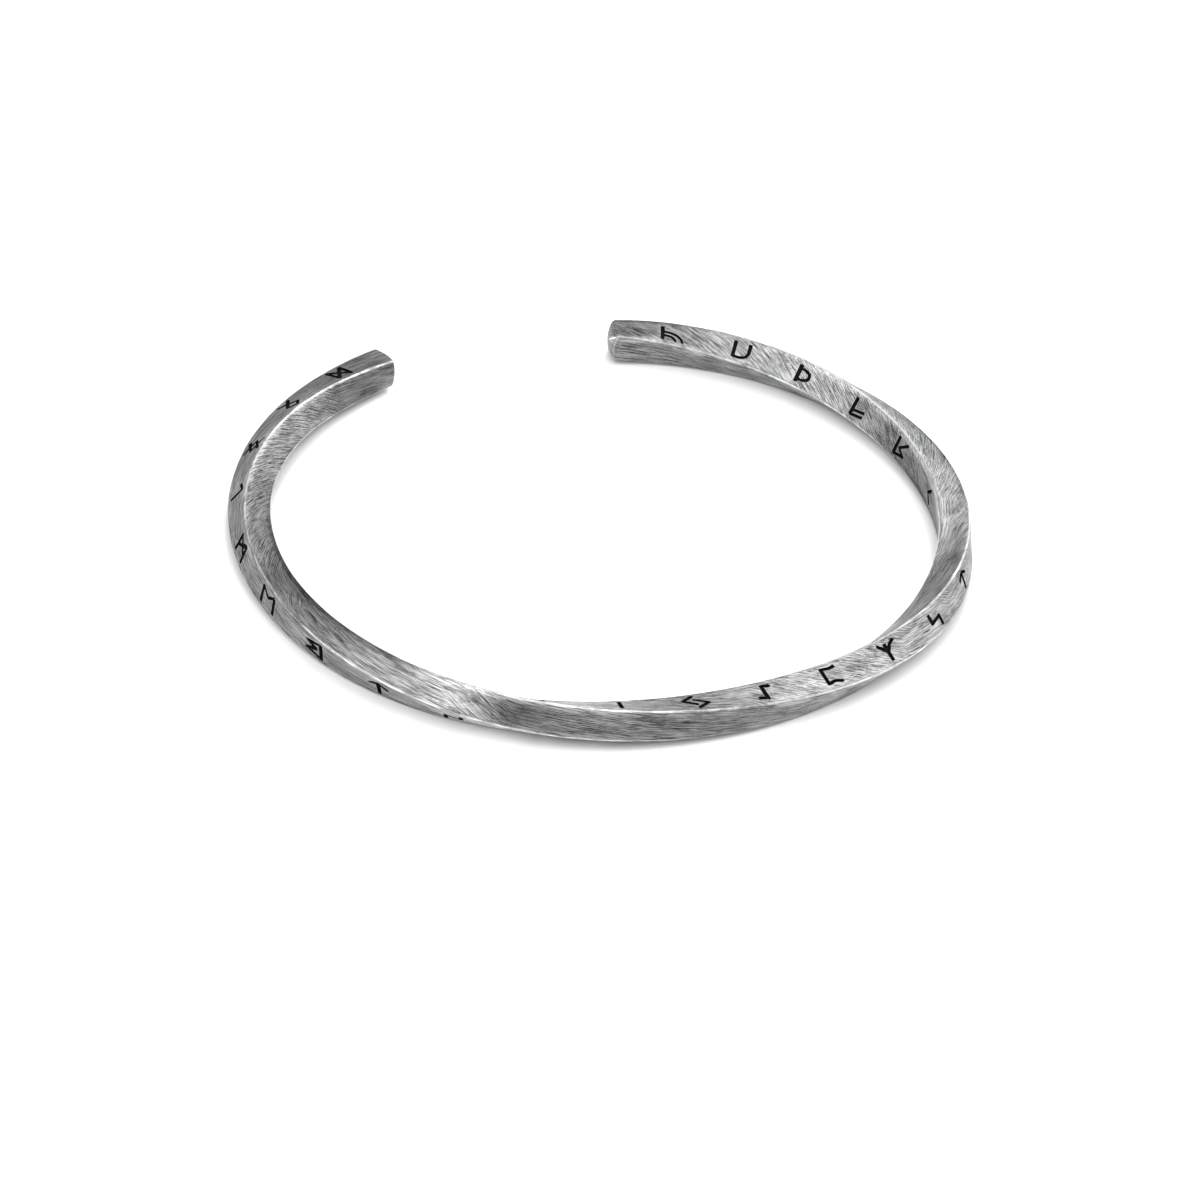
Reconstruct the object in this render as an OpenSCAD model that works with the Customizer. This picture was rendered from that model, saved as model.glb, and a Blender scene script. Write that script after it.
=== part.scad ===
// Twisted arm ring: one square bar, turned once along its length, bent to an open oval
// and cut with a row of angular signs on two opposite faces. Millimetres, +Z up.
// The ring lies flat on z = 0, its long axis along X, its gap towards +Y.

/* [Bar] */
// Side of the square bar
bar_side = 3; // [2.6:0.1:4]
// Radius of the four long edges
edge_radius = 0.34; // [0.2:0.02:0.6]
// Thinning of the bar at its two tips, as a share of its side
tip_thinning = 0.02; // [0:0.01:0.12]
// Length over which each tip thins
tip_length = 5; // [3:0.5:10]
// Radius of the bulging face on each tip
tip_bulge = 4.4; // [3.2:0.1:8]
// Rounding between a tip's bulging face and its sides
tip_rounding = 0.33; // [0.2:0.01:0.5]

/* [Ring] */
// Mean radius of the bar's centre line
ring_radius = 30.6; // [28:0.2:40]
// Widening of the ring from side to side, as a share of its radius
ring_oval = 0.089; // [0:0.001:0.12]
// Small lean of the hand-bent oval, as a share of its radius
ring_lean = 0.004; // [0:0.001:0.01]
// Angle of the right tip, from the middle of the front
right_tip = 157.2; // [148:0.2:166]
// Angle of the left tip, from the middle of the front
left_tip = 154; // [148:0.2:166]
// Offset of the tips from the oval, the left one outwards and the right one inwards
tip_offset = 0.2; // [0:0.05:0.4]

/* [Twist] */
// Turn of the bar at the right tip, from a flat face up
twist_start = 0; // [-20:0.5:20]
// Turn of the bar from the right tip to the left tip
twist_turn = 353.8; // [300:0.2:400]
// Extra turn reached at the middle of the bar
twist_bow = 5.6; // [0:0.1:10]

/* [Signs] */
// Depth of the cut signs
sign_depth = 0.3; // [0.15:0.05:0.4]
// Width of an upright stroke
stem_width = 0.42; // [0.3:0.02:0.5]
// Width of an arm
arm_width = 0.32; // [0.16:0.01:0.36]
// Distance from the right tip to the middle of the first sign of the mirrored row
right_margin = 5.3; // [4:0.1:8]
// Distance from the middle of that row's last sign to the left tip
end_margin = 5.3; // [4:0.1:8]
// Distance from the left tip to the middle of the first sign of the opposite row
left_margin = 6; // [4.2:0.1:6.8]

/* [Hidden] */

UP = [0, 0, 1];
// Steps of the curve that the length is measured on
LENGTH_STEPS = 360;
// Stations of the bar from tip to tip, and rings on each domed tip
STATIONS = 100;
DOME_RINGS = 5;
// Angle from each tip over which it leaves the oval
TIP_BEND = 14;
// Points on each rounded edge, less one
EDGE_STEPS = 3;
// Points on each curved arm, less one
CURVE_STEPS = 4;
// How far a cutter stands out of the face
PROUD = 0.3;
// Angle step of the tangent
TINY = 0.01;

half_side = bar_side / 2;
edge_reach = half_side * sqrt(2) - edge_radius * (sqrt(2) - 1);

// Centre line: angle 0 is the middle of the front, positive towards +X
function near_tip(a) = pow(max(0, 1 - a / TIP_BEND), 2);
function tip_bend(a) = tip_offset * (near_tip(left_tip + a) - near_tip(right_tip - a));
function ring_r(a) =
    ring_radius * (1 - ring_oval * cos(2 * a) - ring_lean * sin(3 * a)) + tip_bend(a);
function ring_point(a) = [ring_r(a) * sin(a), -ring_r(a) * cos(a), 0];
function angle_at(i) = right_tip - (right_tip + left_tip) * i / LENGTH_STEPS;
function step_length(i) = norm(ring_point(angle_at(i)) - ring_point(angle_at(i - 1)));

// Rows of [distance from the right tip, angle]
ANGLE_TABLE = [
    for (i = 0, s = 0; i <= LENGTH_STEPS; i = i + 1, s = s + (i <= LENGTH_STEPS ? step_length(i) : 0))
        [s, angle_at(i)]
];
bar_length = ANGLE_TABLE[LENGTH_STEPS][0];

// Frame of the bar at distance s from the right tip. The bar's four faces, in turn, look
// along first, second, -first and -second.
function angle_of(s) = lookup(s, ANGLE_TABLE);
function unit(v) = v / norm(v);
function along(s) = unit(ring_point(angle_of(s) - TINY) - ring_point(angle_of(s) + TINY));
function inward(s) = cross(along(s), UP);
function twist(s) =
    twist_start + twist_turn * s / bar_length + twist_bow * sin(180 * s / bar_length);
function first_dir(s) = cos(twist(s)) * UP + sin(twist(s)) * inward(s);
function second_dir(s) = cos(twist(s)) * inward(s) - sin(twist(s)) * UP;

// Share of the full side that is left at distance s
function from_tip(s) = min(s, bar_length - s);
function thinning(s) = 1 - tip_thinning * pow(max(0, 1 - from_tip(s) / tip_length), 2);

// Square with rounded corners, as [along first, along second]
CORNERS = [[1, 1], [-1, 1], [-1, -1], [1, -1]];
SECTION = [
    for (k = [0:3], j = [0:EDGE_STEPS])
        let (a = 90 * k + 90 * j / EDGE_STEPS)
            (half_side - edge_radius) * CORNERS[k] + edge_radius * [cos(a), sin(a)]
];

// One ring of points: the section at s
function section_at(p, s) = p[0] * first_dir(s) + p[1] * second_dir(s);
function section_ring(s) = [
    for (p = SECTION) ring_point(angle_of(s)) + thinning(s) * section_at(p, s)
];

// Rings of the tip at s: a shallow bulge, furthest out in the middle of the bar, that rounds
// over into the sides. The rings shrink towards the middle. side is 1 at the left tip, -1 at
// the right one.
function tip_turn(j) = 90 * j / (DOME_RINGS + 1);
function bulge(r) = (edge_reach * edge_reach - r * r) / (2 * tip_bulge);
function rounding(turn) = tip_rounding * (1 - pow(1 - sin(turn), 2));
function tip_ring(s, side, j) = [
    let (scale_by = sqrt(cos(tip_turn(j))))
        for (p = SECTION)
            let (push = bulge(scale_by * norm(p)) + rounding(tip_turn(j)))
                ring_point(angle_of(s)) + side * push * along(s)
                    + scale_by * thinning(s) * section_at(p, s)
];
function pole(s, side) =
    ring_point(angle_of(s)) + side * (bulge(0) + tip_rounding) * along(s);

RINGS = concat(
    [for (j = [DOME_RINGS:-1:0]) tip_ring(0, -1, j)],
    [for (i = [1:STATIONS - 1]) section_ring(bar_length * i / STATIONS)],
    [for (j = [0:DOME_RINGS]) tip_ring(bar_length, 1, j)]
);
POLES = [pole(0, -1), pole(bar_length, 1)];
BAR_POINTS = concat([for (r = RINGS) each r], POLES);

ROUND = len(SECTION);
LAST_RING = len(RINGS) - 1;
RIGHT_POLE = len(BAR_POINTS) - 2;
LEFT_POLE = len(BAR_POINTS) - 1;
function next(j) = (j + 1) % ROUND;

BAR_FACES = concat(
    [
        for (i = [0:LAST_RING - 1], j = [0:ROUND - 1])
            let (a = i * ROUND + j, b = i * ROUND + next(j))
                each [[a, a + ROUND, b], [b, a + ROUND, b + ROUND]]
    ],
    [for (j = [0:ROUND - 1]) [RIGHT_POLE, j, next(j)]],
    [for (j = [0:ROUND - 1]) [LEFT_POLE, LAST_RING * ROUND + next(j), LAST_RING * ROUND + j]]
);

// The origin is in the middle of the ring's outline, on the surface that it lies on
function middle(v) = (min(v) + max(v)) / 2;
ORIGIN = [
    middle([for (p = BAR_POINTS) p[0]]),
    middle([for (p = BAR_POINTS) p[1]]),
    min([for (p = BAR_POINTS) p[2]])
];

// Points of a curved arm that leaves a towards b and ends at c
function curve(a, b, c) = [
    for (i = [0:CURVE_STEPS])
        let (t = i / CURVE_STEPS)
            (1 - t) * (1 - t) * a + 2 * t * (1 - t) * b + t * t * c
];

// The 24 signs of the old runic row. A sign is rows of [kind of stroke, points], with x along
// the reading direction and y up. STEM strokes are wide and end square.
STEM = 0;
ARM = 1;
SIGNS = [
    // f
    [
        [STEM, [[-0.95, 0.98], [-0.95, -0.76]]],
        [ARM, curve([-0.85, 0.42], [0.15, 0.36], [0.33, 0.95])],
        [ARM, curve([-0.85, -0.06], [0.7, -0.04], [1.06, 0.95])]
    ],
    // u
    [
        [STEM, [[-0.68, 0.95], [-0.72, -0.84]]],
        [ARM, curve([-0.6, 0.84], [0.72, 0.98], [0.82, 0.1])],
        [STEM, [[0.82, 0.22], [0.76, -0.84]]]
    ],
    // th
    [
        [STEM, [[-0.72, 0.92], [-0.72, -0.9]]],
        [ARM, curve([-0.62, 0.58], [0.52, 0.6], [0.52, 0.02])],
        [ARM, curve([0.52, 0.02], [0.52, -0.5], [-0.62, -0.52])]
    ],
    // a
    [
        [STEM, [[-0.72, 0.92], [-0.72, -0.92]]],
        [ARM, [[-0.66, 0.84], [0.62, 0.58]]],
        [ARM, [[-0.58, 0.36], [0.62, 0.1]]]
    ],
    // r
    [
        [STEM, [[-0.9, 0.92], [-0.9, -0.92]]],
        [ARM, [[-0.84, 0.84], [0.56, 0.48], [-0.42, 0.06], [0.68, -0.84]]]
    ],
    // k
    [
        [ARM, [[0.42, 0.76], [-0.4, 0], [0.42, -0.76]]]
    ],
    // g
    [
        [ARM, [[-0.72, 0.82], [0.72, -0.82]]],
        [ARM, [[-0.72, -0.82], [0.72, 0.82]]]
    ],
    // w
    [
        [STEM, [[-0.55, 0.92], [-0.55, -0.92]]],
        [ARM, [[-0.5, 0.84], [0.6, 0.42], [-0.5, -0.02]]]
    ],
    // h
    [
        [STEM, [[-0.72, 0.92], [-0.72, -0.92]]],
        [STEM, [[0.72, 0.92], [0.72, -0.92]]],
        [ARM, [[-0.65, 0.3], [0.65, -0.3]]]
    ],
    // n
    [
        [STEM, [[-0.1, 0.92], [-0.1, -0.92]]],
        [ARM, [[-0.66, 0.3], [0.46, -0.28]]]
    ],
    // i
    [
        [STEM, [[0.08, 0.94], [0.08, -0.94]]]
    ],
    // j
    [
        [ARM, [[0, 0.86], [-1.06, 0.2], [0.1, -0.4]]],
        [ARM, [[0, 0.34], [1.26, -0.26], [0.16, -0.9]]]
    ],
    // ei
    [
        [STEM, [[-0.2, 0.86], [-0.2, -0.88]]],
        [ARM, [[-0.2, 0.78], [0.5, 0.66]]],
        [ARM, [[-0.2, -0.8], [-0.92, -0.58]]]
    ],
    // p
    [
        [STEM, [[-0.88, 0.92], [-0.88, -0.88]]],
        [ARM, [[-0.84, 0.84], [-0.1, 0.7], [0.48, 0.82]]],
        [ARM, [[-0.84, -0.78], [-0.1, -0.6], [0.52, -0.76]]]
    ],
    // z
    [
        [STEM, [[-0.3, 0.86], [-0.3, -0.94]]],
        [ARM, [[-0.32, 0.02], [-1.14, 0.82]]],
        [ARM, [[-0.28, 0.02], [0.28, 0.6], [0.78, 0.82]]]
    ],
    // s
    [
        [STEM, [[-0.8, 0.8], [-0.8, -0.26]]],
        [ARM, [[-0.74, -0.2], [0.6, 0.02]]],
        [STEM, [[0.6, 0.1], [0.6, -0.98]]]
    ],
    // t
    [
        [STEM, [[-0.12, 0.92], [-0.12, -0.98]]],
        [ARM, [[-0.96, 0.36], [-0.14, 0.84], [0.76, 0.38]]]
    ],
    // b
    [
        [STEM, [[-0.85, 0.96], [-0.85, -0.96]]],
        [ARM, [[-0.8, 0.88], [0.84, 0.46], [-0.3, 0.1], [0.92, -0.5], [-0.8, -0.88]]]
    ],
    // e
    [
        [STEM, [[-1.08, 0.92], [-1.08, -0.96]]],
        [STEM, [[0.88, 0.92], [0.88, -0.96]]],
        [ARM, [[-1, 0.84], [-0.06, 0.24], [0.8, 0.84]]]
    ],
    // m
    [
        [STEM, [[-1.12, 0.92], [-1.12, -0.94]]],
        [STEM, [[0.66, 0.92], [0.66, -0.94]]],
        [ARM, [[-1.06, 0.84], [0.6, -0.16]]],
        [ARM, [[-1.06, -0.16], [0.6, 0.84]]]
    ],
    // l
    [
        [STEM, [[-0.16, 0.92], [-0.16, -0.86]]],
        [ARM, [[-0.14, 0.84], [0.8, 0.5]]]
    ],
    // ng
    [
        [ARM, [[-0.86, 0.84], [0.68, 0.06], [-0.86, -0.76]]],
        [ARM, [[0.66, 0.84], [-0.92, 0.06], [0.66, -0.76]]]
    ],
    // o
    [
        [ARM, [[-0.62, -0.82], [0.84, 0.36], [0.06, 0.9], [-0.74, 0.38], [0.84, -0.82]]]
    ],
    // d
    [
        [STEM, [[-0.74, 0.92], [-0.74, -0.92]]],
        [STEM, [[0.84, 0.92], [0.84, -0.92]]],
        [ARM, [[-0.7, 0.84], [0.8, -0.84]]],
        [ARM, [[-0.7, -0.84], [0.8, 0.84]]]
    ]
];
sign_pitch = (bar_length - right_margin - end_margin) / (len(SIGNS) - 1);

// Foot of a cutter, square for a stem and round for an arm
module stroke_end(kind) {
    high = sign_depth + PROUD;
    if (kind == STEM) {
        translate([-TINY, -stem_width / 2, -sign_depth]) cube([2 * TINY, stem_width, high]);
    } else {
        translate([0, 0, -sign_depth]) cylinder(d = arm_width, h = high, $fn = 8);
    }
}

module stroke(kind, a, b) {
    turn = atan2(b[1] - a[1], b[0] - a[0]);
    hull() {
        translate(a) rotate(turn) stroke_end(kind);
        translate(b) rotate(turn) stroke_end(kind);
    }
}

module sign_cutter(k) {
    for (s = SIGNS[k]) {
        for (i = [1:len(s[1]) - 1]) {
            stroke(s[0], s[1][i - 1], s[1][i]);
        }
    }
}

// Puts a cutter on the face that looks along side * first, side being 1 or -1
module on_face(s, side) {
    x = -along(s);
    y = side * second_dir(s);
    z = side * first_dir(s);
    p = ring_point(angle_of(s)) + half_side * thinning(s) * z;
    multmatrix([
        [x[0], y[0], z[0], p[0]],
        [x[1], y[1], z[1], p[1]],
        [x[2], y[2], z[2], p[2]],
        [0, 0, 0, 1]
    ]) children();
}

// The row on the first face runs from the right tip and is cut in mirror writing. The row on
// the opposite face runs from the left tip and reads the common way.
module sign_rows() {
    for (k = [0:len(SIGNS) - 1]) {
        on_face(right_margin + k * sign_pitch, 1) mirror([1, 0, 0]) sign_cutter(k);
        on_face(bar_length - left_margin - k * sign_pitch, -1) sign_cutter(k);
    }
}

module twisted_bar() {
    polyhedron(points = BAR_POINTS, faces = BAR_FACES, convexity = 10);
}

module arm_ring() {
    color("silver") translate(-ORIGIN) difference() {
        twisted_bar();
        sign_rows();
    }
}

arm_ring();
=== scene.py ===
"""Twisted arm ring of oxidised, brushed silver on a pale floor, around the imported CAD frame."""
import math

import bpy
import numpy as np
from mathutils import Matrix, Vector, noise
from mathutils.geometry import delaunay_2d_cdt


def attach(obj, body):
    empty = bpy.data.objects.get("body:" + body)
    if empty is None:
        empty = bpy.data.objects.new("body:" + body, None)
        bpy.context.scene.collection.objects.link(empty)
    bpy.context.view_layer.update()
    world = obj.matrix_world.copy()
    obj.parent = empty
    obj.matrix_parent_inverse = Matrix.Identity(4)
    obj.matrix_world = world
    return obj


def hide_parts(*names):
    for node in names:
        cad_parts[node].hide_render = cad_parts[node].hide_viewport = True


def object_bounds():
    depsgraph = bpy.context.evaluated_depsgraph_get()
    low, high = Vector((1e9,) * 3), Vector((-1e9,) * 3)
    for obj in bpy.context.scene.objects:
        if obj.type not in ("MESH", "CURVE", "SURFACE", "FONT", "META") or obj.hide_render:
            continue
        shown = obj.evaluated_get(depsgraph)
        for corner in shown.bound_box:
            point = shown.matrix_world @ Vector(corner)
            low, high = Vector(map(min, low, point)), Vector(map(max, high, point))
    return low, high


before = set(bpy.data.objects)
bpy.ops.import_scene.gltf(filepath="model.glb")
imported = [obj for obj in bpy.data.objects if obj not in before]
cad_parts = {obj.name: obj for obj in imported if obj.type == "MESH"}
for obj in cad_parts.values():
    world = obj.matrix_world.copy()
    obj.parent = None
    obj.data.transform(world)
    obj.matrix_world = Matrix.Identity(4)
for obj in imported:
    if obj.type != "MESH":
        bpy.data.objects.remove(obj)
CAD_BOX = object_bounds()

MM = 0.001

# Driving sizes, in millimetres and degrees, the same as in the CAD model
BAR_SIDE = 3.0
EDGE_RADIUS = 0.34
TIP_THINNING = 0.02
TIP_LENGTH = 5.0
TIP_BULGE = 4.4
TIP_ROUNDING = 0.33
RING_RADIUS = 30.6
RING_OVAL = 0.089
RING_LEAN = 0.004
RIGHT_TIP = 157.2
LEFT_TIP = 154.0
TIP_OFFSET = 0.2
TIP_BEND = 14.0
TWIST_START = 0.0
TWIST_TURN = 353.8
TWIST_BOW = 5.6
SIGN_DEPTH = 0.3
STEM_WIDTH = 0.42
ARM_WIDTH = 0.32
RIGHT_MARGIN = 5.3
END_MARGIN = 5.3
LEFT_MARGIN = 6.0

# Fineness of the mesh: station spacing, columns of a face and of a rounded edge, dome rings
STATION_STEP = 0.5
FACE_COLUMNS = 6
EDGE_COLUMNS = 5
DOME_RINGS = 14
# Samples of the centre line, step in degrees for its tangent, step in mm for surface normals
CURVE_SAMPLES = 3601
TANGENT_STEP = 0.01
NORMAL_STEP = 0.02

# Cut signs: run of the sloping wall, width of the polished burr around it, and how far the
# face's grid of points stays off the strokes
WALL_RUN = 0.05
BURR = 0.045
GRID_CLEARANCE = 0.14
# Segments of a curved arm and of an arm's round end
CURVE_STEPS = 6
ROUND_END_STEPS = 4
# A stroke is looked for this far along the bar, and a point without one counts as far away
STROKE_REACH = 1.0
FAR = 10.0

# Tolerances in mm: for two points of a flattened face to be one, for a corner to lie on the
# face's border, for a point to lie on a stroke's outline, and for two computed lengths to be equal
SAME_PLACE = 1e-5
ON_BORDER = 1e-4
ON_OUTLINE = 1e-4
NEARLY = 1e-6
# A patch of the surface below this many square mm has no direction of its own
NOTHING = 1e-9
# Decimals of a millimetre in which the corners of neighbouring faces have to agree
PLACE_DIGITS = 4

# Unevenness left by hand: height and size of its waves
WAVE_HEIGHT = 0.02
WAVE_SIZE = 5.0

# The bar's section: half side, half of a face's flat part, arc of a rounded edge, one face with
# one edge, the way round the bar, and the distance from its middle to a rounded corner
HALF = BAR_SIDE / 2
FLAT = HALF - EDGE_RADIUS
ARC = EDGE_RADIUS * math.pi / 2
QUARTER = 2 * FLAT + ARC
GIRTH = 4 * QUARTER
CORNER_REACH = HALF * math.sqrt(2) - EDGE_RADIUS * (math.sqrt(2) - 1)
# Stretch of s that crosses half a tip, and length of bar over which the tip's bulge fades
DOME_RUN = 1.0
BULGE_FADE = 1.7
UP = np.array([0.0, 0.0, 1.0])


# The bar's curve and surface. s is the distance from the right tip along the centre line, and
# w the distance round the bar from the middle of its first face.
def near_tip(angle):
    """How near a tip is, from 1 at the tip to 0 where the bar leaves the oval."""
    return np.maximum(0, 1 - angle / TIP_BEND) ** 2


def ring_point(angle):
    """Point of the centre line, for angles in degrees from the middle of the front."""
    a = np.radians(angle)
    r = RING_RADIUS * (1 - RING_OVAL * np.cos(2 * a) - RING_LEAN * np.sin(3 * a))
    r = r + TIP_OFFSET * (near_tip(LEFT_TIP + angle) - near_tip(RIGHT_TIP - angle))
    return np.stack([r * np.sin(a), -r * np.cos(a), np.zeros_like(r)], axis=-1)


ANGLES = np.linspace(RIGHT_TIP, -LEFT_TIP, CURVE_SAMPLES)
STEPS = np.linalg.norm(np.diff(ring_point(ANGLES), axis=0), axis=1)
LENGTHS = np.concatenate([[0.0], np.cumsum(STEPS)])
BAR_LENGTH = float(LENGTHS[-1])


def bar_frame(s):
    """Centre, tangent and the outward directions of the bar's first two faces at distance s."""
    angle = np.interp(s, LENGTHS, ANGLES)
    tangent = ring_point(angle - TANGENT_STEP) - ring_point(angle + TANGENT_STEP)
    tangent /= np.linalg.norm(tangent, axis=-1, keepdims=True)
    inward = np.cross(tangent, UP)
    turn = TWIST_START + TWIST_TURN * s / BAR_LENGTH
    turn = np.radians(turn + TWIST_BOW * np.sin(np.pi * s / BAR_LENGTH))[..., None]
    first = np.cos(turn) * UP + np.sin(turn) * inward
    second = np.cos(turn) * inward - np.sin(turn) * UP
    return ring_point(angle), tangent, first, second


def section(w):
    """Place and outward normal on the rounded square at w, each as amounts along the bar's
    first and second directions."""
    k, t = np.divmod(w + FLAT, QUARTER)
    bend = np.clip((t - 2 * FLAT) / EDGE_RADIUS, 0, math.pi / 2)
    out = FLAT + EDGE_RADIUS * np.cos(bend)
    side = np.minimum(t, 2 * FLAT) - FLAT + EDGE_RADIUS * np.sin(bend)
    face = k * math.pi / 2
    place = (out * np.cos(face) - side * np.sin(face), out * np.sin(face) + side * np.cos(face))
    normal = (np.cos(face + bend), np.sin(face + bend))
    return place, normal


def waves(points):
    """Low, irregular waves that filing by hand leaves, in millimetres."""
    return np.array([noise.noise(Vector(p) / WAVE_SIZE) for p in points]) * WAVE_HEIGHT


def skin(s, w, depth=0.0):
    """Points of the surface, in millimetres, or of the metal depth below it. s runs past
    either tip by DOME_RUN to cross its dome."""
    inside = np.clip(s, 0, BAR_LENGTH)
    centre, tangent, first, second = bar_frame(inside)
    over = np.clip((s - inside) / DOME_RUN, -1, 1)
    turn = np.abs(over) * math.pi / 2
    tip = np.minimum(inside, BAR_LENGTH - inside)
    thin = 1 - TIP_THINNING * np.clip(1 - tip / TIP_LENGTH, 0, 1) ** 2
    shrink = np.sqrt(np.clip(np.cos(turn), 0, 1))
    scale = thin * shrink
    place, normal = section(w)
    reach = shrink * np.hypot(*place)
    bulge = (CORNER_REACH**2 - reach**2) / (2 * TIP_BULGE) * np.clip(1 - tip / BULGE_FADE, 0, 1)
    push = bulge + TIP_ROUNDING * (1 - (1 - np.sin(turn)) ** 2)
    push *= np.where(s > BAR_LENGTH / 2, 1, -1)
    a = (place[0] * scale - normal[0] * depth)[:, None]
    b = (place[1] * scale - normal[1] * depth)[:, None]
    points = centre + push[:, None] * tangent + a * first + b * second
    out = normal[0][:, None] * first + normal[1][:, None] * second
    return points + out * (waves(points) * np.cos(turn))[:, None]


def skin_normals(s, w):
    """Outward normals of the surface, from small steps along and round the bar, and the size
    of the patch between those steps, which is nothing at the middle of a dome."""
    along = skin(s + NORMAL_STEP, w) - skin(s - NORMAL_STEP, w)
    around = skin(s, w + NORMAL_STEP) - skin(s, w - NORMAL_STEP)
    outward = np.cross(around, along)
    size = np.linalg.norm(outward, axis=1, keepdims=True)
    return outward / np.maximum(size, NOTHING), size[:, 0]


# The 24 signs of the old runic row, as rows of (kind of stroke, points) with x along the
# reading direction and y up. STEM strokes are wide and end square.
STEM, ARM = 0, 1


def curve(a, b, c):
    """Points of a curved arm that leaves a towards b and ends at c."""
    return [
        tuple((1 - t) ** 2 * p + 2 * t * (1 - t) * q + t * t * r for p, q, r in zip(a, b, c))
        for t in np.linspace(0, 1, CURVE_STEPS + 1)
    ]


SIGNS = {
    "f": [
        (STEM, [(-0.95, 0.98), (-0.95, -0.76)]),
        (ARM, curve((-0.85, 0.42), (0.15, 0.36), (0.33, 0.95))),
        (ARM, curve((-0.85, -0.06), (0.7, -0.04), (1.06, 0.95))),
    ],
    "u": [
        (STEM, [(-0.68, 0.95), (-0.72, -0.84)]),
        (ARM, curve((-0.6, 0.84), (0.72, 0.98), (0.82, 0.1))),
        (STEM, [(0.82, 0.22), (0.76, -0.84)]),
    ],
    "th": [
        (STEM, [(-0.72, 0.92), (-0.72, -0.9)]),
        (ARM, curve((-0.62, 0.58), (0.52, 0.6), (0.52, 0.02))),
        (ARM, curve((0.52, 0.02), (0.52, -0.5), (-0.62, -0.52))),
    ],
    "a": [
        (STEM, [(-0.72, 0.92), (-0.72, -0.92)]),
        (ARM, [(-0.66, 0.84), (0.62, 0.58)]),
        (ARM, [(-0.58, 0.36), (0.62, 0.1)]),
    ],
    "r": [
        (STEM, [(-0.9, 0.92), (-0.9, -0.92)]),
        (ARM, [(-0.84, 0.84), (0.56, 0.48), (-0.42, 0.06), (0.68, -0.84)]),
    ],
    "k": [(ARM, [(0.42, 0.76), (-0.4, 0), (0.42, -0.76)])],
    "g": [
        (ARM, [(-0.72, 0.82), (0.72, -0.82)]),
        (ARM, [(-0.72, -0.82), (0.72, 0.82)]),
    ],
    "w": [
        (STEM, [(-0.55, 0.92), (-0.55, -0.92)]),
        (ARM, [(-0.5, 0.84), (0.6, 0.42), (-0.5, -0.02)]),
    ],
    "h": [
        (STEM, [(-0.72, 0.92), (-0.72, -0.92)]),
        (STEM, [(0.72, 0.92), (0.72, -0.92)]),
        (ARM, [(-0.65, 0.3), (0.65, -0.3)]),
    ],
    "n": [
        (STEM, [(-0.1, 0.92), (-0.1, -0.92)]),
        (ARM, [(-0.66, 0.3), (0.46, -0.28)]),
    ],
    "i": [(STEM, [(0.08, 0.94), (0.08, -0.94)])],
    "j": [
        (ARM, [(0, 0.86), (-1.06, 0.2), (0.1, -0.4)]),
        (ARM, [(0, 0.34), (1.26, -0.26), (0.16, -0.9)]),
    ],
    "ei": [
        (STEM, [(-0.2, 0.86), (-0.2, -0.88)]),
        (ARM, [(-0.2, 0.78), (0.5, 0.66)]),
        (ARM, [(-0.2, -0.8), (-0.92, -0.58)]),
    ],
    "p": [
        (STEM, [(-0.88, 0.92), (-0.88, -0.88)]),
        (ARM, [(-0.84, 0.84), (-0.1, 0.7), (0.48, 0.82)]),
        (ARM, [(-0.84, -0.78), (-0.1, -0.6), (0.52, -0.76)]),
    ],
    "z": [
        (STEM, [(-0.3, 0.86), (-0.3, -0.94)]),
        (ARM, [(-0.32, 0.02), (-1.14, 0.82)]),
        (ARM, [(-0.28, 0.02), (0.28, 0.6), (0.78, 0.82)]),
    ],
    "s": [
        (STEM, [(-0.8, 0.8), (-0.8, -0.26)]),
        (ARM, [(-0.74, -0.2), (0.6, 0.02)]),
        (STEM, [(0.6, 0.1), (0.6, -0.98)]),
    ],
    "t": [
        (STEM, [(-0.12, 0.92), (-0.12, -0.98)]),
        (ARM, [(-0.96, 0.36), (-0.14, 0.84), (0.76, 0.38)]),
    ],
    "b": [
        (STEM, [(-0.85, 0.96), (-0.85, -0.96)]),
        (ARM, [(-0.8, 0.88), (0.84, 0.46), (-0.3, 0.1), (0.92, -0.5), (-0.8, -0.88)]),
    ],
    "e": [
        (STEM, [(-1.08, 0.92), (-1.08, -0.96)]),
        (STEM, [(0.88, 0.92), (0.88, -0.96)]),
        (ARM, [(-1, 0.84), (-0.06, 0.24), (0.8, 0.84)]),
    ],
    "m": [
        (STEM, [(-1.12, 0.92), (-1.12, -0.94)]),
        (STEM, [(0.66, 0.92), (0.66, -0.94)]),
        (ARM, [(-1.06, 0.84), (0.6, -0.16)]),
        (ARM, [(-1.06, -0.16), (0.6, 0.84)]),
    ],
    "l": [
        (STEM, [(-0.16, 0.92), (-0.16, -0.86)]),
        (ARM, [(-0.14, 0.84), (0.8, 0.5)]),
    ],
    "ng": [
        (ARM, [(-0.86, 0.84), (0.68, 0.06), (-0.86, -0.76)]),
        (ARM, [(0.66, 0.84), (-0.92, 0.06), (0.66, -0.76)]),
    ],
    "o": [(ARM, [(-0.62, -0.82), (0.84, 0.36), (0.06, 0.9), (-0.74, 0.38), (0.84, -0.82)])],
    "d": [
        (STEM, [(-0.74, 0.92), (-0.74, -0.92)]),
        (STEM, [(0.84, 0.92), (0.84, -0.92)]),
        (ARM, [(-0.7, 0.84), (0.8, -0.84)]),
        (ARM, [(-0.7, -0.84), (0.8, 0.84)]),
    ],
}
SIGN_PITCH = (BAR_LENGTH - RIGHT_MARGIN - END_MARGIN) / (len(SIGNS) - 1)


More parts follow.
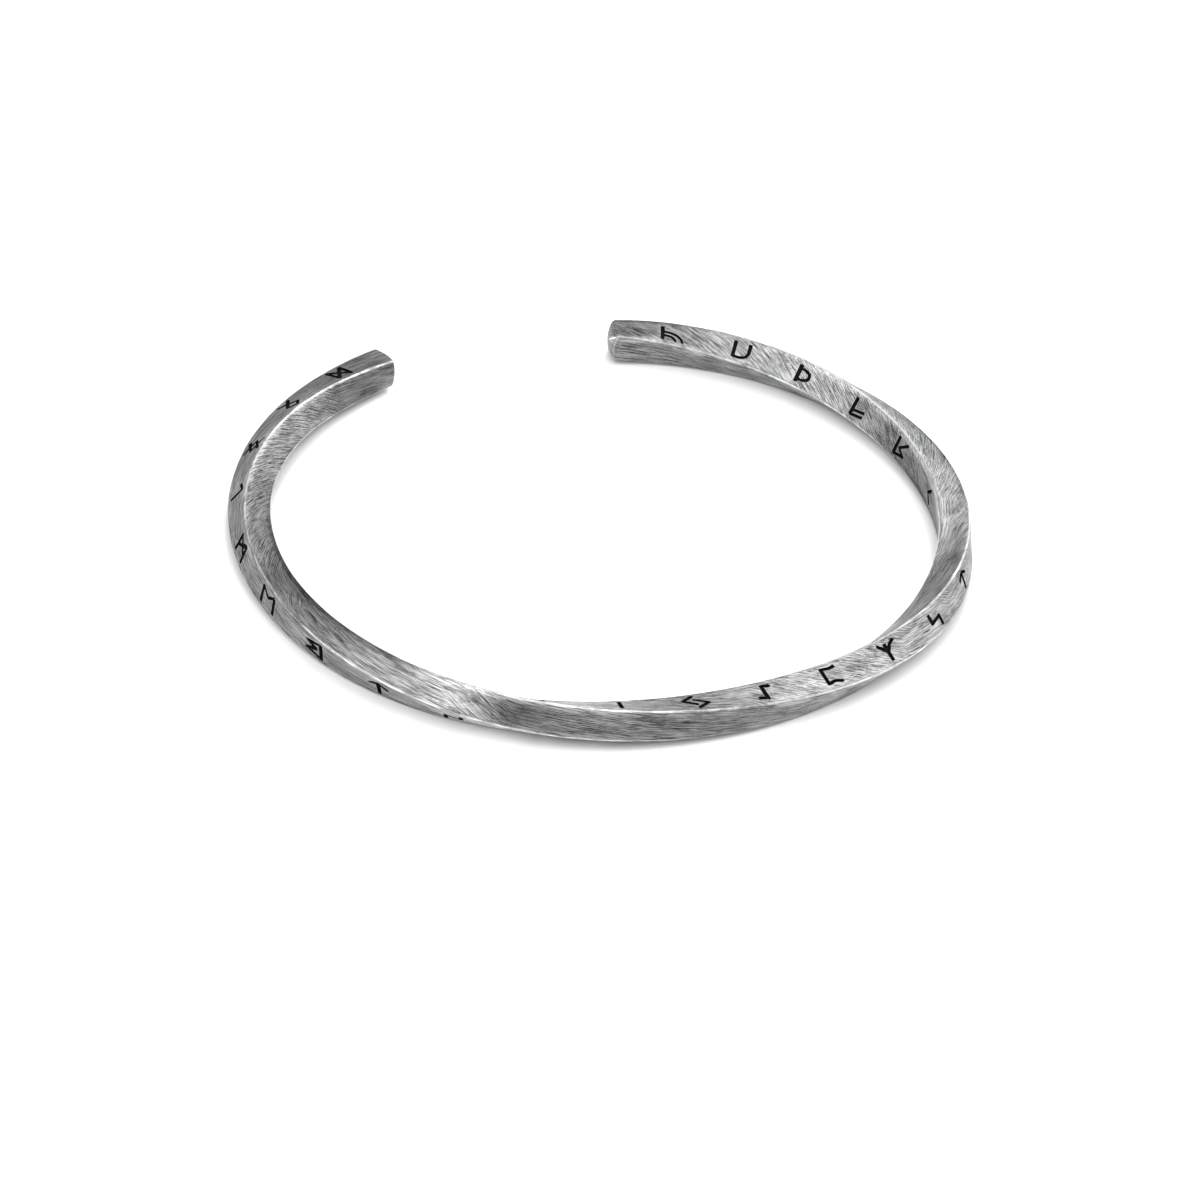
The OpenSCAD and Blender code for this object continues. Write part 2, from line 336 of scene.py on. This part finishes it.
def row_of_strokes(mirrored):
    """Straight strokes of one row as (kind, start, end), x being the distance from the right
    tip. The mirrored row starts at the right tip, the other one at the left tip."""
    strokes = []
    for k, sign in enumerate(SIGNS.values()):
        for kind, points in sign:
            if mirrored:
                placed = [(RIGHT_MARGIN + k * SIGN_PITCH + x, y) for x, y in points]
            else:
                start = BAR_LENGTH - LEFT_MARGIN - k * SIGN_PITCH
                placed = [(start - x, y) for x, y in points]
            strokes += [(kind, a, b) for a, b in zip(placed, placed[1:])]
    return strokes


def distance(points, stroke):
    """Signed distance of each point from a stroke's outline, negative inside it."""
    kind, a, b = stroke
    a, b = np.array(a), np.array(b)
    length = np.linalg.norm(b - a)
    way = (b - a) / length
    along = (points - a) @ way
    across = np.abs((points - a) @ np.array([-way[1], way[0]]))
    if kind == STEM:
        return np.maximum(np.abs(along - length / 2) - length / 2, across - STEM_WIDTH / 2)
    beyond = along - np.clip(along, 0, length)
    return np.hypot(beyond, across) - ARM_WIDTH / 2


def nearest(points, strokes):
    """Signed distance of each point from the nearest of the strokes."""
    found = np.full(len(points), FAR)
    for stroke in strokes:
        low = min(stroke[1][0], stroke[2][0]) - STROKE_REACH
        high = max(stroke[1][0], stroke[2][0]) + STROKE_REACH
        near = np.nonzero((points[:, 0] > low) & (points[:, 0] < high))[0]
        found[near] = np.minimum(found[near], distance(points[near], stroke))
    return found


def outline(stroke, grow):
    """Closed outline of a stroke, grown outwards: square for a stem, round for an arm."""
    kind, a, b = stroke
    a, b = np.array(a), np.array(b)
    way = (b - a) / np.linalg.norm(b - a)
    side = np.array([-way[1], way[0]])
    if kind == STEM:
        half = STEM_WIDTH / 2 + grow
        corners = [(a, -1, 1), (b, 1, 1), (b, 1, -1), (a, -1, -1)]
        return [end + way * grow * x + side * half * y for end, x, y in corners]
    radius = ARM_WIDTH / 2 + grow
    points = []
    for end, way_out in ((b, way), (a, -way)):
        left = side if way_out is way else -side
        for t in np.linspace(0, math.pi, ROUND_END_STEPS + 1):
            points.append(end + radius * (left * math.cos(t) + way_out * math.sin(t)))
    return points


STATIONS = np.linspace(0, BAR_LENGTH, round(BAR_LENGTH / STATION_STEP) + 1)
COLUMNS = np.linspace(-FLAT, FLAT, FACE_COLUMNS + 1)


def cut_face(strokes):
    """Triangles of one face, flattened, with the outlines of its strokes as edges."""
    border = [(s, -FLAT) for s in STATIONS] + [(BAR_LENGTH, c) for c in COLUMNS[1:-1]]
    border += [(s, FLAT) for s in STATIONS[::-1]] + [(0.0, c) for c in COLUMNS[-2:0:-1]]
    points = [Vector(p) for p in border]
    edges = [(i, (i + 1) % len(border)) for i in range(len(border))]
    grid = np.array([(s, c) for s in STATIONS[1:-1] for c in COLUMNS[1:-1]])
    points += [Vector(p) for p in grid[nearest(grid, strokes) > GRID_CLEARANCE]]
    for stroke in strokes:
        for grow in (BURR, 0.0, -WALL_RUN):
            loop = outline(stroke, grow)
            start = len(points)
            points += [Vector(p) for p in loop]
            edges += [(start + i, start + (i + 1) % len(loop)) for i in range(len(loop))]
    flat, _, triangles, *_ = delaunay_2d_cdt(points, edges, [], 0, SAME_PLACE)
    flat = np.array([tuple(p) for p in flat])
    # A flat sliver along the straight border would join places that are far apart on the ring
    kept = [
        triangle[::-1]
        for triangle in triangles
        if np.abs(flat[list(triangle), 1]).min() < FLAT - ON_BORDER
    ]
    return flat, kept


class Weave:
    """Collects faces whose corners are places (s, w) on the surface, and joins equal places."""

    def __init__(self):
        self.index, self.places, self.depths, self.burnish = {}, [], [], []
        self.faces, self.maps, self.slots = [], [], []

    def corner(self, s, w, depth=0.0, burnish=0.0):
        """Number of the corner at (s, w). The middle of a dome is one corner for every w."""
        pole = s < -DOME_RUN + NEARLY or s > BAR_LENGTH + DOME_RUN - NEARLY
        around = round(w % GIRTH, PLACE_DIGITS) % round(GIRTH, PLACE_DIGITS)
        key = (round(s, PLACE_DIGITS), 0.0 if pole else around)
        if key not in self.index:
            self.index[key] = len(self.places)
            self.places.append((s, w))
            self.depths.append(depth)
            self.burnish.append(burnish)
        return self.index[key]

    def face(self, corners, places, slot=0):
        """Adds a face without its doubled corners, unless fewer than three are left."""
        kept = [i for i, c in enumerate(corners) if c != corners[i - 1]]
        if len(kept) > 2:
            self.faces.append([corners[i] for i in kept])
            self.maps.append([places[i] for i in kept])
            self.slots.append(slot)


def weave_bar():
    """All faces of the bar: cut faces as triangles, the others, the edges and domes as quads."""
    cloth = Weave()
    quarter = list(COLUMNS) + [FLAT + ARC * (j + 1) / EDGE_COLUMNS for j in range(EDGE_COLUMNS)]
    dome = np.linspace(0, 1, DOME_RINGS + 1)[1:] * DOME_RUN
    stations = np.concatenate([-dome[::-1], STATIONS, BAR_LENGTH + dome])
    for k in range(4):
        for j in range(len(quarter) - 1):
            w0, w1 = (k * QUARTER + quarter[i] for i in (j, j + 1))
            cut = k % 2 == 0 and j < FACE_COLUMNS
            for s0, s1 in zip(stations, stations[1:]):
                if cut and s0 > -NEARLY and s1 < BAR_LENGTH + NEARLY:
                    continue
                places = [(s0, w0), (s0, w1), (s1, w1), (s1, w0)]
                corners = [cloth.corner(s, w) for s, w in places]
                cloth.face(corners, places)
    for start, mirrored in ((0.0, True), (2 * QUARTER, False)):
        strokes = row_of_strokes(mirrored)
        flat, triangles = cut_face(strokes)
        apart = nearest(flat, strokes)
        depths = SIGN_DEPTH * np.clip(-apart / WALL_RUN, 0, 1)
        burrs = np.clip(1 - apart / BURR, 0, 1) * (apart > -ON_OUTLINE)
        ids = [
            cloth.corner(p[0], start + p[1], depth, shine)
            for p, depth, shine in zip(flat, depths, burrs)
        ]
        for triangle in triangles:
            places = [(flat[i][0], start + flat[i][1]) for i in triangle]
            sunk = max(depths[i] for i in triangle) > NEARLY
            cloth.face([ids[i] for i in triangle], places, int(sunk))
    return cloth


def add_values(mesh, name, values):
    """Gives every point of the mesh a number that the material reads."""
    attribute = mesh.attributes.new(name, "FLOAT", "POINT")
    attribute.data.foreach_set("value", values)


def set_normals(mesh, depths, normals, size):
    """Smooth normals from the surface itself, but flat ones on walls and at a dome's middle."""
    loop_normals = []
    for polygon in mesh.polygons:
        corners = list(polygon.vertices)
        wall = np.ptp(depths[corners]) > NEARLY
        for i in corners:
            flat = wall or size[i] < NOTHING
            loop_normals.append(tuple(polygon.normal if flat else normals[i]))
    mesh.normals_split_custom_set(loop_normals)


def way_to_cad(points):
    """Shift in metres that brings the points' box onto the CAD box."""
    low, high = points.min(axis=0) * MM, points.max(axis=0) * MM
    cad_low, cad_high = (np.array(corner) for corner in CAD_BOX)
    shift = (cad_low + cad_high - low - high) / 2
    shift[2] = cad_low[2] - low[2]
    return Vector(shift)


def build_ring():
    """The finished bar as one mesh object, and how far it was shifted to meet the CAD box."""
    cloth = weave_bar()
    s, w = np.array(cloth.places).T
    depths = np.array(cloth.depths)
    points = skin(s, w, depths)
    normals, size = skin_normals(s, w)
    mesh = bpy.data.meshes.new("silver_bar")
    mesh.from_pydata((points * MM).tolist(), [], cloth.faces)
    uv = mesh.uv_layers.new(name="bar")
    uv.data.foreach_set("uv", [v for places in cloth.maps for place in places for v in place])
    add_values(mesh, "burnish", cloth.burnish)
    # Patina patches, partly real patina and partly painted reflection and painted shade
    add_values(mesh, "patina_and_painted_light", patches(s, w, PATCHES, 0, PATCH_ACROSS))
    # Edge patches, partly real wear and partly painted highlight and painted shade
    add_values(mesh, "edge_wear_and_painted_light", patches(s, w, EDGE_PATCHES, QUARTER / 2, EDGE_PATCH_ACROSS))
    add_values(mesh, "slant", patches(s, w, SLANTED, 0, PATCH_ACROSS))
    mesh.polygons.foreach_set("material_index", cloth.slots)
    mesh.polygons.foreach_set("use_smooth", [True] * len(cloth.faces))
    mesh.update()
    set_normals(mesh, depths, normals, size)
    ring = bpy.data.objects.new("silver_bar", mesh)
    bpy.context.scene.collection.objects.link(ring)
    shift = way_to_cad(points)
    mesh.transform(Matrix.Translation(shift))
    return ring, shift


# Brushing on the silver: angle to the bar in degrees, length and width of a scratch in mm, and
# a shift along the bar that keeps the three layers apart
BRUSHING = {
    "lengthwise": (-4, 2.8, 0.06, 0.0),
    "slanting": (-30, 1.8, 0.062, 40.0),
    "crossing": (14, 1.6, 0.065, 80.0),
}
# Noises of the finish as (scale, detail, roughness), and the limits between which each one's
# value goes from 0 to 1. The scale is counted for each millimetre of the place that it is given,
# after any stretching.
FINE_NOISE, FINE_LIMITS = (0.8, 3.0, 0.75), (0.38, 0.62)
SLANT_NOISE, SLANT_LIMITS = (0.25, 2.0, 0.5), (0.66, 0.86)
CROSSING_NOISE, CROSSING_LIMITS = (0.33, 2.0, 0.5), (0.50, 0.62)
GRAIN_NOISE, GRAIN_LIMITS = (18.0, 2.0, 0.7), (0.3, 0.7)
CLOUD_NOISE, CLOUD_LIMITS = (1.0, 2.0, 0.5), (0.34, 0.66)
WOBBLE_NOISE = (2.2, 3.0, 0.7)
SOOT_NOISE = (9.0, 3.0, 0.6)
# The polished line comes and goes between a quarter of its strength and all of it
COMING_NOISE, COMING_LIMITS = (1.0, 3.0, 0.6), (0.38, 0.62, 0.25, 1.0)
# Clouds and the coming and going of the line are drawn out along the bar
CLOUD_STRETCH = (0.3, 0.8, 1)
COMING_STRETCH = (0.5, 0.1, 1)

# How much of its patches the crossing scratches cover
CROSSING_SHARE = 0.30
# How strongly each layer shows in the tone, and the sums that give the darkest and the lightest
COARSE_SHARE = 0.62
FINE_SHARE = 0.62
CLOUD_SHARE = 0.16
GRAIN_SHARE = 0.42
TONE_LIMITS = (0.59, 1.33)
# The darkest and the lightest colour of the skin, and bare metal
SILVER_DARK = (0.035, 0.035, 0.036)
SILVER_LIGHT = (0.62, 0.625, 0.63)
SILVER_RUBBED = (0.90, 0.905, 0.91)

# Half width in millimetres of the line that wear has polished on edges and on the tips' rims,
# the breadth in which an edge's line strays, and where a rim lies on the run over its dome
EDGE_LINE = 0.17
RIM_LINE = 0.16
WOBBLE = 0.16
RIM_PLACE = -0.28
# How far the rims' line and the burr round the signs are polished, beside the edges' line
RIM_SHARE = 0.5
BURR_SHARE = 0.45

# Relief of the brushing: the grain's height beside a scratch's, strength, and depth in metres
GRAIN_HEIGHT = 0.3
BUMP_STRENGTH = 0.7
BUMP_DEPTH = 0.00001
# Roughness of the silver where it is dark, light and polished, and the brushing's anisotropy,
# turned by a quarter of a full turn from the tangent
DARK_ROUGHNESS = 0.46
LIGHT_ROUGHNESS = 0.36
POLISHED_ROUGHNESS = 0.30
ANISOTROPY = 0.85
ANISOTROPY_TURN = 0.25

# Soot in the signs: its two greys, its roughness in each, and its faint reflection
SOOT_DARK = (0.002, 0.002, 0.002)
SOOT_LIGHT = (0.009, 0.009, 0.009)
SOOT_ROUGHNESS = (0.6, 0.85)
SOOT_SPECULAR = 0.1

# Patches that lighten (above 0) or darken (below 0) the dark skin, as rows of
# (face, place from the right tip, half length in mm, strength as a power of two), and half of
# how far they reach round the bar. They are partly thinner and thicker patina and partly
# painted reflection and painted shade: bright and dark stretches of the metal's reflections,
# and lower faces darkened where the floor's reflection is too bright, laid into the colour
PATCHES = [
    (0, 0, 6, -0.7), (0, 38, 9, -0.7), (0, 105, 6, 0.9),
    (0, 120, 6, -0.4), (0, 137, 8, -0.5), (0, 154, 12, -0.7), (0, 166, 4, -0.5),
    (1, 6, 10, -0.4), (1, 68, 5, 0.2), (1, 85, 6, -0.7), (1, 92, 3, -0.4), (1, 103, 3, -0.8),
    (1, 109, 3, 0.4), (1, 128, 6, -0.3), (1, 151, 7, -0.3), (1, 166, 6, -1.3),
    (2, 50, 7, -0.4), (2, 78, 6, 0.4), (2, 97, 5, 0.9), (3, 40, 14, 0.7), (3, 55, 6, -0.2),
]
PATCH_ACROSS = 1.7
# The same for the rounded edges, each named by the face before it. These are partly real wear
# and partly painted highlight, where a broad soft highlight lies on an edge, and painted shade
EDGE_PATCHES = [
    (0, 3, 8, 0.7), (0, 38, 6, -1.5), (0, 150, 14, 0.9), (1, 104, 8, 0.8), (1, 130, 13, -1.7),
    (2, 26, 9, -1.5), (3, 34, 16, 1.3), (3, 2, 5, -0.8),
]
EDGE_PATCH_ACROSS = 0.5
# Stretches brushed at a slant, as rows of (face, middle, half length, strength)
SLANTED = [
    (0, 14, 22, 0.8), (1, 146, 14, 0.8), (1, 108, 8, 0.3), (2, 74, 18, 0.4), (3, 40, 18, 0.4),
]


def patches(s, w, rows, aside, across):
    """Sum of soft patches at each place. aside is how far they lie beside their face."""
    total = np.zeros(len(s))
    for face, middle, half, strength in rows:
        off = (w - face * QUARTER - aside + GIRTH / 2) % GIRTH - GIRTH / 2
        total += strength * np.exp(-(((s - middle) / half) ** 2) - (off / across) ** 4)
    return total


class Nodes:
    """Shorthand for adding linked shader nodes."""

    def __init__(self, material):
        material.use_nodes = True
        self.tree = material.node_tree
        self.shader = self.tree.nodes["Principled BSDF"]

    def add(self, kind, inputs=(), output=0, **settings):
        """Adds a node of this kind, gives it its inputs and settings, and returns one output."""
        node = self.tree.nodes.new("ShaderNode" + kind)
        for name, value in settings.items():
            setattr(node, name, value)
        for name, value in dict(inputs).items():
            self.give(node.inputs[name], value)
        return node.outputs[output]

    def give(self, socket, value):
        """Links another node's output to the socket, or sets a constant on it."""
        if isinstance(value, bpy.types.NodeSocket):
            self.tree.links.new(value, socket)
        else:
            socket.default_value = value

    def math(self, operation, a, b=0.0, clamp=False):
        return self.add("Math", {0: a, 1: b}, operation=operation, use_clamp=clamp)

    def spread(self, value, low, high, to_low=0.0, to_high=1.0):
        """Goes smoothly from to_low to to_high while the value goes from low to high."""
        places = {0: value, 1: low, 2: high, 3: to_low, 4: to_high}
        return self.add("MapRange", places, interpolation_type="SMOOTHSTEP")

    def mix(self, factor, a, b):
        """Mix of two numbers."""
        return self.add("Mix", {0: factor, 2: a, 3: b}, data_type="FLOAT")

    def blend(self, factor, a, b):
        """Mix of two colours."""
        return self.add("Mix", {0: factor, 6: a, 7: b}, output=2, data_type="RGBA")

    def stretch(self, place, scale):
        return self.add("Mapping", {"Vector": place, "Scale": scale})

    def noise(self, place, scale, detail, roughness):
        inputs = {"Vector": place, "Scale": scale, "Detail": detail, "Roughness": roughness}
        return self.add("TexNoise", inputs)


def brush_strokes(nodes, place, name):
    """Scratches as long, narrow cells of random tone, and finer ones between them."""
    angle, length, width, shift = BRUSHING[name]
    turn = {"Rotation": (0, 0, math.radians(angle)), "Location": (shift, 0, 0)}
    turned = nodes.add("Mapping", {"Vector": place, **turn})
    stretched = nodes.stretch(turned, (1 / length, 1 / width, 1))
    cells = nodes.add("TexVoronoi", {"Vector": stretched}, output=1, voronoi_dimensions="2D")
    cell = nodes.add("SeparateColor", {"Color": cells})
    fine = nodes.spread(nodes.noise(stretched, *FINE_NOISE), *FINE_LIMITS)
    coarse = nodes.math("MULTIPLY", cell, COARSE_SHARE)
    return nodes.math("ADD", coarse, nodes.math("MULTIPLY", fine, FINE_SHARE))


def all_scratches(nodes, place, slant):
    """Lengthwise scratches, slanting ones where slant says so, and patches of crossing ones."""
    lengthwise, slanting, crossing = (brush_strokes(nodes, place, name) for name in BRUSHING)
    where = nodes.math("ADD", slant, nodes.noise(place, *SLANT_NOISE))
    scratches = nodes.mix(nodes.spread(where, *SLANT_LIMITS), lengthwise, slanting)
    crossed = nodes.spread(nodes.noise(place, *CROSSING_NOISE), *CROSSING_LIMITS)
    return nodes.mix(nodes.math("MULTIPLY", crossed, CROSSING_SHARE), scratches, crossing)


def skin_colour(nodes, place, scratches, grain, patina_wear_and_painted_light):
    """Colour of the darkened skin, doubled where the patches sum to 1 and halved where they sum to
    -1. The patches are partly patina and partly painted reflection and painted shade.
    """
    drawn_out = nodes.stretch(place, CLOUD_STRETCH)
    clouds = nodes.spread(nodes.noise(drawn_out, *CLOUD_NOISE), *CLOUD_LIMITS)
    tone = nodes.math("ADD", scratches, nodes.math("MULTIPLY", clouds, CLOUD_SHARE))
    tone = nodes.math("ADD", tone, nodes.math("MULTIPLY", grain, GRAIN_SHARE))
    tone = nodes.spread(tone, *TONE_LIMITS)
    colour = nodes.blend(tone, SILVER_DARK + (1,), SILVER_LIGHT + (1,))
    # Here the patches scale the colour: patina, painted reflection and painted shade
    scaled = {0: colour, "Scale": nodes.math("POWER", 2.0, patina_wear_and_painted_light)}
    patched_colour = nodes.add("VectorMath", scaled, operation="SCALE")
    return nodes.add("VectorMath", {0: patched_colour, 1: SILVER_RUBBED}, operation="MINIMUM")


def polished_line(nodes, off, half):
    """1 in the middle of a line and 0 beyond its half width, off being the distance from it."""
    return nodes.spread(off, half, 0.0)


def polish(nodes, place, edge_wear_and_painted_light, burr):
    """How far wear has bared the metal: along edges and rims, and on the burr round signs. The
    edge patches widen and brighten it in places as a painted highlight, and dim it in others as
    painted shade.
    """
    parts = nodes.tree.nodes.new("ShaderNodeSeparateXYZ")
    nodes.give(parts.inputs[0], place)
    along, around = parts.outputs[0], parts.outputs[1]
    wobble = nodes.math("MULTIPLY", nodes.noise(place, *WOBBLE_NOISE), WOBBLE)
    turn = nodes.math("FLOORED_MODULO", nodes.math("ADD", around, FLAT), QUARTER)
    off_edge = nodes.math("ABSOLUTE", nodes.math("SUBTRACT", turn, 2 * FLAT + ARC / 2))
    off_edge = nodes.math("ADD", off_edge, nodes.math("SUBTRACT", wobble, WOBBLE / 2))
    tip = nodes.math("MINIMUM", along, nodes.math("SUBTRACT", BAR_LENGTH, along))
    off_rim = nodes.math("ABSOLUTE", nodes.math("SUBTRACT", tip, RIM_PLACE))
    edge = polished_line(nodes, off_edge, EDGE_LINE)
    rim = nodes.math("MULTIPLY", polished_line(nodes, off_rim, RIM_LINE), RIM_SHARE)
    drawn_out = nodes.stretch(place, COMING_STRETCH)
    coming = nodes.spread(nodes.noise(drawn_out, *COMING_NOISE), *COMING_LIMITS)
    worn = nodes.math("MULTIPLY", nodes.math("MAXIMUM", edge, rim), coming)
    # The edge patches brighten the line into a painted highlight in places and dim it into painted
    # shade in others
    worn = nodes.math("MULTIPLY", worn, nodes.math("POWER", 2.0, edge_wear_and_painted_light), clamp=True)
    return nodes.math("MAXIMUM", worn, nodes.math("MULTIPLY", burr, BURR_SHARE))


def silver_material():
    """Oxidised silver, brushed by hand, with rubbed edges, and patches of painted highlight and
    painted shade in its tone.
    """
    material = bpy.data.materials.new("oxidised_silver")
    nodes = Nodes(material)
    place = nodes.add("UVMap", uv_map="bar")
    burr, patina_and_painted_light, edge_wear_and_painted_light, slant = (
        nodes.add("Attribute", output=2, attribute_name=name)
        for name in ("burnish", "patina_and_painted_light", "edge_wear_and_painted_light", "slant")
    )
    scratches = all_scratches(nodes, place, slant)
    grain = nodes.spread(nodes.noise(place, *GRAIN_NOISE), *GRAIN_LIMITS)
    # Sum of the patina patches and the edge patches, both partly painted highlight and painted
    # shade
    patina_wear_and_painted_light = nodes.math("ADD", patina_and_painted_light, edge_wear_and_painted_light)
    skin_tone = skin_colour(nodes, place, scratches, grain, patina_wear_and_painted_light)
    worn = polish(nodes, place, edge_wear_and_painted_light, burr)

    relief = nodes.math("ADD", scratches, nodes.math("MULTIPLY", grain, GRAIN_HEIGHT))
    bump = {"Strength": BUMP_STRENGTH, "Distance": BUMP_DEPTH, "Height": relief}
    rough = nodes.mix(scratches, DARK_ROUGHNESS, LIGHT_ROUGHNESS)
    tangent = nodes.add("Tangent", direction_type="UV_MAP", uv_map="bar")
    sockets = nodes.shader.inputs
    nodes.give(sockets["Base Color"], nodes.blend(worn, skin_tone, SILVER_RUBBED + (1,)))
    nodes.give(sockets["Roughness"], nodes.mix(worn, rough, POLISHED_ROUGHNESS))
    nodes.give(sockets["Normal"], nodes.add("Bump", bump))
    nodes.give(sockets["Tangent"], tangent)
    sockets["Metallic"].default_value = 1.0
    sockets["Anisotropic"].default_value = ANISOTROPY
    sockets["Anisotropic Rotation"].default_value = ANISOTROPY_TURN
    return material


def recess_material():
    """Black oxide in the cut signs."""
    material = bpy.data.materials.new("blackened_recess")
    nodes = Nodes(material)
    soot = nodes.noise(nodes.add("UVMap", uv_map="bar"), *SOOT_NOISE)
    sockets = nodes.shader.inputs
    nodes.give(sockets["Base Color"], nodes.blend(soot, SOOT_DARK + (1,), SOOT_LIGHT + (1,)))
    nodes.give(sockets["Roughness"], nodes.mix(soot, *SOOT_ROUGHNESS))
    sockets["Specular IOR Level"].default_value = SOOT_SPECULAR
    return material


# Camera: where it looks from, in degrees, and how far and how much aside, in millimetres
VIEW_AZIMUTH = -26.252
VIEW_ELEVATION = 38.53
VIEW_ROLL = 9.17
VIEW_DISTANCE = 553.602
VIEW_ASIDE = -0.404
VIEW_LOWER = 7.256
# Lens and film in millimetres, and the nearest that the camera sees, in metres
LENS = 180.0
FILM = 36.0
NEAREST = 0.01


def direction(azimuth, elevation):
    """Way out from the ring, the azimuth being counted from the front and +X being 90."""
    az, el = math.radians(azimuth), math.radians(elevation)
    return Vector((math.sin(az) * math.cos(el), -math.cos(az) * math.cos(el), math.sin(el)))


def add_camera(middle):
    """The photograph's camera. middle is the ring's own centre."""
    roll = math.radians(VIEW_ROLL)
    back = direction(VIEW_AZIMUTH, VIEW_ELEVATION)
    right = back.cross(Vector((0, 0, -1))).normalized()
    up = back.cross(right)
    right, up = (
        right * math.cos(roll) + up * math.sin(roll),
        up * math.cos(roll) - right * math.sin(roll),
    )
    place = back * VIEW_DISTANCE + right * VIEW_ASIDE - up * VIEW_LOWER
    data = bpy.data.cameras.new("camera")
    data.lens = LENS
    data.sensor_width = FILM
    data.clip_start = NEAREST
    camera = bpy.data.objects.new("camera", data)
    turned = Matrix((right, up, back)).transposed().to_4x4()
    camera.matrix_world = Matrix.Translation(middle + place * MM) @ turned
    bpy.context.scene.collection.objects.link(camera)
    bpy.context.scene.camera = camera


# Stage: half the floor's side in metres, its brightness and the light of the room
FLOOR_REACH = 2.0
FLOOR_TONE = 0.80
ROOM_LIGHT = 0.43
# Softboxes as rows of (azimuth, elevation, metres away, diameter, radiance). The radiance is
# what a mirror would show of the softbox.
SOFTBOXES = {
    "right_softbox": (112, 66, 1.5, 2.0, 1.66),
    "low_right_softbox": (102, 24, 1.5, 1.3, 1.6),
    "left_softbox": (-70, 48, 1.5, 1.0, 3.5),
}
# Lights that only the floor shows, not the metal: one draws the ring's soft shadow, the other
# keeps that shadow pale
FLOOR_LIGHTS = {
    "back_light": (154, 48, 1.5, 0.35, 26.0),
    "front_fill": (-26, 60, 1.5, 2.0, 2.0),
}


def add_stage():
    """The pale, dull floor."""
    floor_mesh = bpy.data.meshes.new("floor")
    corners = [(-1, -1), (1, -1), (1, 1), (-1, 1)]
    floor_mesh.from_pydata(
        [(x * FLOOR_REACH, y * FLOOR_REACH, 0) for x, y in corners], [], [(0, 1, 2, 3)]
    )
    floor = bpy.data.objects.new("floor", floor_mesh)
    bpy.context.scene.collection.objects.link(floor)
    material = bpy.data.materials.new("pale_floor")
    material.use_nodes = True
    shader = material.node_tree.nodes["Principled BSDF"]
    shader.inputs["Base Color"].default_value = (FLOOR_TONE, FLOOR_TONE, FLOOR_TONE, 1)
    shader.inputs["Roughness"].default_value = 1.0
    shader.inputs["Specular IOR Level"].default_value = 0.0
    floor_mesh.materials.append(material)


def area_light(name, azimuth, elevation, away, size, radiance):
    """Round softbox, aimed at the ring."""
    out = direction(azimuth, elevation)
    data = bpy.data.lights.new(name, "AREA")
    data.shape = "DISK"
    data.size = size
    data.energy = radiance * math.pi * (math.pi * size**2 / 4)
    light = bpy.data.objects.new(name, data)
    turned = out.to_track_quat("Z", "Y").to_matrix().to_4x4()
    light.matrix_world = Matrix.Translation(out * away) @ turned
    bpy.context.scene.collection.objects.link(light)
    return light


def add_lights():
    """The room's even light, the softboxes and the lights for the floor alone."""
    world = bpy.data.worlds.new("studio")
    bpy.context.scene.world = world
    world.use_nodes = True
    background = world.node_tree.nodes["Background"]
    background.inputs["Color"].default_value = (1, 1, 1, 1)
    background.inputs["Strength"].default_value = ROOM_LIGHT
    for name, row in SOFTBOXES.items():
        area_light(name, *row)
    for name, row in FLOOR_LIGHTS.items():
        area_light(name, *row).visible_glossy = False
    bpy.context.scene.view_settings.view_transform = "Standard"


ring, middle = build_ring()
ring.data.materials.append(silver_material())
ring.data.materials.append(recess_material())
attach(ring, "root")
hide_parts("arm_ring")
add_stage()
add_lights()
add_camera(middle)
